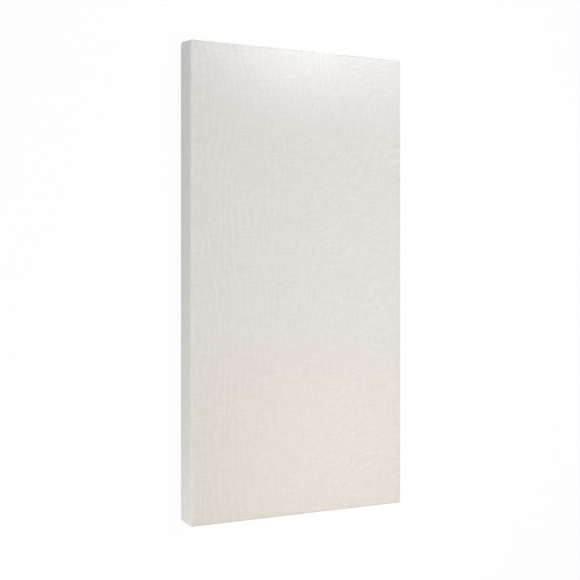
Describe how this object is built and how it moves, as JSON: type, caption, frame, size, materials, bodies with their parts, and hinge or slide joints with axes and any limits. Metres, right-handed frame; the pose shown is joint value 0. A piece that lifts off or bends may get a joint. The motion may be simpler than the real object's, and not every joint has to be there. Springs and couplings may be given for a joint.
{
  "type": "fabric acoustic wall panel",
  "caption": "Rectangular sound-absorbing wall panel: a rigid glass wool board wrapped in woven cloth that is tucked at the corners and glued in a mitred border on the back.",
  "frame": {"origin": "centre of the back, on the plane that the panel lies on", "axes": "+Z out of the face, +Y along the length, +X across the width"},
  "size_m": [0.6096, 1.2192, 0.0762],
  "materials": {
    "glass_wool": "matt compressed fibre",
    "glass_mat": "matt nonwoven tissue",
    "ivory_cloth": "matt plain weave"
  },
  "bodies": {
    "root": {"core_board": "glass_wool", "back_mat": "glass_mat", "fabric_cover": "ivory_cloth"}
  },
  "joints": []
}
